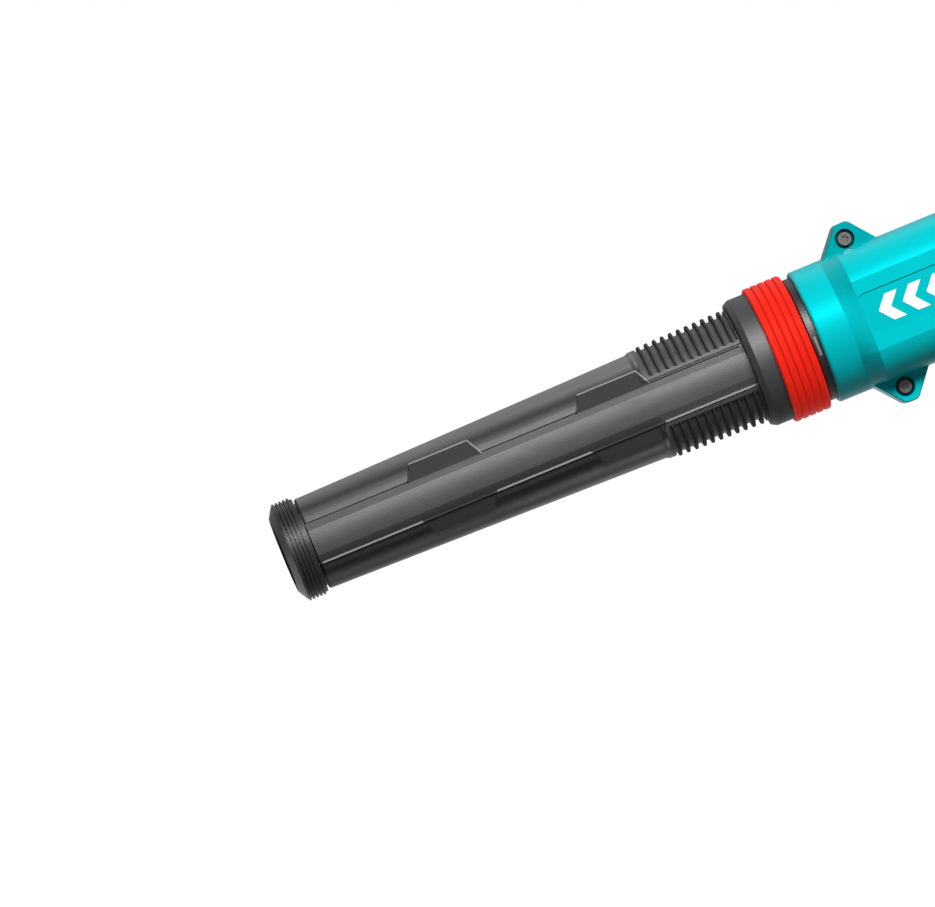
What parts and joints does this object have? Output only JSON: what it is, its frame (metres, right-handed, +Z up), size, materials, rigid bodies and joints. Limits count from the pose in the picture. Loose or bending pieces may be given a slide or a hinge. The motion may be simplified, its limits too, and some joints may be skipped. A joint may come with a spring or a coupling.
{
  "type": "cordless leaf blower",
  "caption": "Hand-held cordless axial blower: tapered nozzle on a quick-release sleeve, split barrel housing with fan and motor, loop handle with trigger, slide-on battery.",
  "frame": {"origin": "on the floor under the middle of the whole machine", "axes": "+X along the fan axis from the outlet mouth to the battery, +Z up, the housing halves part at y = 0"},
  "size_m": [0.6852, 0.112, 0.196],
  "materials": {
    "tube_grey": "satin moulded dark grey plastic",
    "black_plastic": "fine-textured black plastic",
    "collar_grey": "smooth dark grey plastic",
    "red_plastic": "semi-gloss red plastic",
    "teal_plastic": "satin teal plastic",
    "soft_grip": "soft-touch moulded rubber",
    "rubber": "black rubber",
    "steel": "plain steel",
    "dark_steel": "black-oxide steel",
    "duct_plastic": "black glass-filled nylon",
    "copper": "enamelled copper",
    "magnet": "sintered magnet in a steel sleeve",
    "circuit_green": "solder-masked circuit board",
    "aluminium": "bead-blasted aluminium",
    "cell_wrap": "shrink-wrapped cell",
    "wire_red": "red insulation",
    "wire_black": "black insulation",
    "contact_metal": "plated contact metal"
  },
  "bodies": {
    "housing": {"housing_left": "teal_plastic", "housing_right": "teal_plastic", "grip_left": "soft_grip", "grip_right": "soft_grip", "outlet_spigot": "black_plastic", "spigot_seal": "rubber", "outlet_duct": "duct_plastic", "stator_housing": "duct_plastic", "tail_cone": "duct_plastic", "inlet_bell": "duct_plastic", "front_isolator": "rubber", "rear_isolator": "rubber", "intake_grille": "black_plastic", "housing_screws": "dark_steel", "front_foot": "rubber", "rear_foot": "rubber", "motor_can": "steel", "motor_end_plate": "aluminium", "motor_windings": "copper", "motor_bearings": "steel", "trigger_pin": "steel", "switch_module": "black_plastic", "switch_board": "circuit_green", "turbo_switch": "black_plastic", "dial_sensor": "black_plastic", "controller_board": "circuit_green", "controller_capacitors": "aluminium", "heat_sink": "aluminium", "dock_terminals": "contact_metal", "battery_wire_red": "wire_red", "battery_wire_black": "wire_black", "motor_leads": "wire_black"},
    "nozzle": {"nozzle_tube": "tube_grey", "mouth_ring": "black_plastic", "tube_collar": "collar_grey", "sleeve_retaining_ring": "steel", "sleeve_spring": "steel"},
    "sleeve": {"release_sleeve": "red_plastic"},
    "fan_rotor": {"motor_shaft": "steel", "rotor_magnets": "magnet", "impeller": "black_plastic", "impeller_nut": "steel", "spinner_cap": "red_plastic"},
    "trigger_lever": {"trigger": "black_plastic"},
    "plunger": {"switch_plunger": "red_plastic"},
    "dial": {"speed_dial": "black_plastic", "dial_shaft": "steel"},
    "turbo": {"turbo_button": "red_plastic"},
    "battery": {"battery_case_top": "black_plastic", "battery_case_bottom": "black_plastic", "battery_screws": "dark_steel", "battery_cells": "cell_wrap", "cell_holders": "black_plastic", "battery_board": "circuit_green", "battery_latch_spring": "steel"},
    "battery_latch": {"battery_latch_button": "red_plastic"},
    "level_key": {"battery_level_button": "soft_grip"}
  },
  "joints": [
    {"name": "tube_pull", "type": "slide", "parent": "housing", "child": "nozzle", "axis": [-1, 0, 0], "range_m": [0, 0.045]},
    {"name": "sleeve_pull", "type": "slide", "parent": "nozzle", "child": "sleeve", "axis": [1, 0, 0], "range_m": [0, 0.0044], "stiffness_N_per_m": 1500, "springref_m": -0.004, "deforming": ["sleeve_spring"]},
    {"name": "fan_spin", "type": "hinge", "parent": "housing", "child": "fan_rotor", "pos_m": [0.17535, 0, 0.064], "axis": [1, 0, 0], "continuous": true},
    {"name": "trigger_pull", "type": "hinge", "parent": "housing", "child": "trigger_lever", "pos_m": [0.12705, 0, 0.169], "axis": [0, -1, 0], "range_deg": [0, 12], "stiffness_Nm_per_rad": 0.6, "springref_deg": -17.19},
    {"name": "plunger_push", "type": "slide", "parent": "housing", "child": "plunger", "axis": [0, 0, 1], "range_m": [0, 0.0054]},
    {"name": "dial_turn", "type": "hinge", "parent": "housing", "child": "dial", "pos_m": [0.11255, 0, 0.181], "axis": [0, 1, 0], "range_deg": [0, 270]},
    {"name": "turbo_press", "type": "slide", "parent": "housing", "child": "turbo", "axis": [0, 0, -1], "range_m": [0, 0.002], "stiffness_N_per_m": 600, "springref_m": -0.002},
    {"name": "battery_slide", "type": "slide", "parent": "housing", "child": "battery", "axis": [1, 0, 0], "range_m": [0, 0.12]},
    {"name": "battery_latch_press", "type": "slide", "parent": "battery", "child": "battery_latch", "axis": [0, 0, -1], "range_m": [0, 0.004], "stiffness_N_per_m": 1200, "springref_m": -0.003, "deforming": ["battery_latch_spring"]},
    {"name": "level_key_press", "type": "slide", "parent": "battery", "child": "level_key", "axis": [-1, 0, 0], "range_m": [0, 0.0015], "stiffness_N_per_m": 500, "springref_m": -0.002}
  ],
  "couplings": [
    {"joint": "plunger_push", "follows": "trigger_pull", "m_per_rad": 0.0253}
  ]
}
